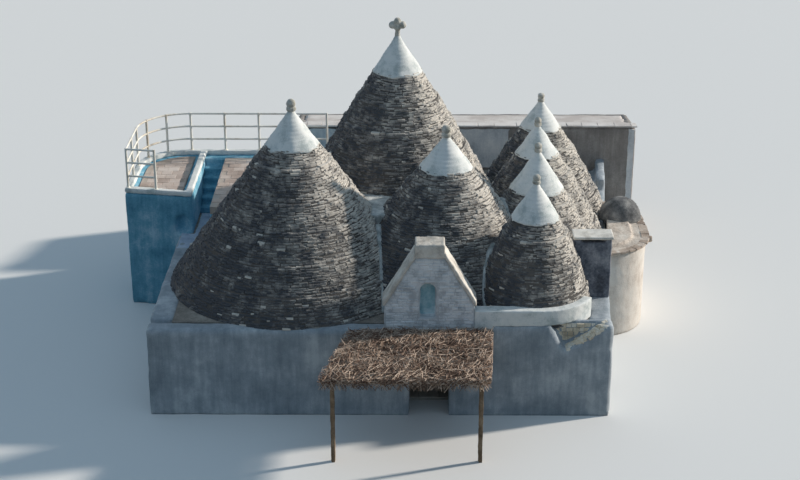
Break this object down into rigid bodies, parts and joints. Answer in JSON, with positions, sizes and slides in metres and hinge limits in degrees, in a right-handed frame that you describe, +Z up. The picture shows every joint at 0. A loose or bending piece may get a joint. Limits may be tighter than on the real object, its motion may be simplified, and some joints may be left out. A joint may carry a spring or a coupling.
{
  "type": "trullo house",
  "caption": "Stone farmhouse with seven cone roofs on thick walls, a gabled entrance under a pergola, a railed roof terrace, a rear wing and a rounded oven annex.",
  "frame": {"origin": "on the ground, under the middle of the whole outline", "axes": "+Z up; +Y from the entrance front towards the rear wing; +X to the right, seen from the front"},
  "size_m": [14.2, 15.65, 7.945],
  "materials": {
    "dry_stone": "matte",
    "limewash": "matte",
    "wall_plaster": "matte",
    "coping_stone": "matte",
    "blue_limewash": "matte",
    "floor_tile": "matte",
    "wing_render": "matte",
    "cream_render": "matte",
    "annex_cover": "matte",
    "chimney_render": "matte",
    "rail_paint": "satin",
    "pergola_wood": "matte",
    "dry_brush": "matte"
  },
  "bodies": {
    "root": {"front_wall_left": "wall_plaster", "front_wall_right": "wall_plaster", "entrance_arch": "wall_plaster", "front_block_right": "wall_plaster", "left_wall": "wall_plaster", "right_wall": "wall_plaster", "ground_floor": "floor_tile", "roof_deck": "dry_stone", "inner_wall_left": "dry_stone", "inner_wall_cross": "dry_stone", "inner_wall_rear": "dry_stone", "alcove_arcade": "dry_stone", "alcove_walls": "dry_stone", "cone_left": "dry_stone", "cone_middle": "dry_stone", "cone_rear": "dry_stone", "cone_row_first": "dry_stone", "cone_row_second": "dry_stone", "cone_row_third": "dry_stone", "cone_row_fourth": "dry_stone", "limewashed_caps": "limewash", "pinnacles": "limewash", "valley_saddles": "limewash", "limewashed_band": "limewash", "gable_wall": "wall_plaster", "gable_coping": "coping_stone", "gable_block": "coping_stone", "terrace_wall": "blue_limewash", "terrace_podium": "blue_limewash", "terrace_floor": "floor_tile", "terrace_kerb": "limewash", "terrace_stair": "blue_limewash", "railing_left": "rail_paint", "railing_corner": "rail_paint", "railing_back": "rail_paint", "wing_front_wall": "wing_render", "wing_back_wall": "wing_render", "wing_end_walls": "wing_render", "wing_roof": "wing_render", "annex_wall": "cream_render", "annex_roof": "annex_cover", "chimney_stack": "chimney_render", "chimney_slab": "coping_stone", "pergola_frame": "pergola_wood", "pergola_poles": "pergola_wood", "pergola_brushwood": "dry_brush"}
  },
  "joints": []
}
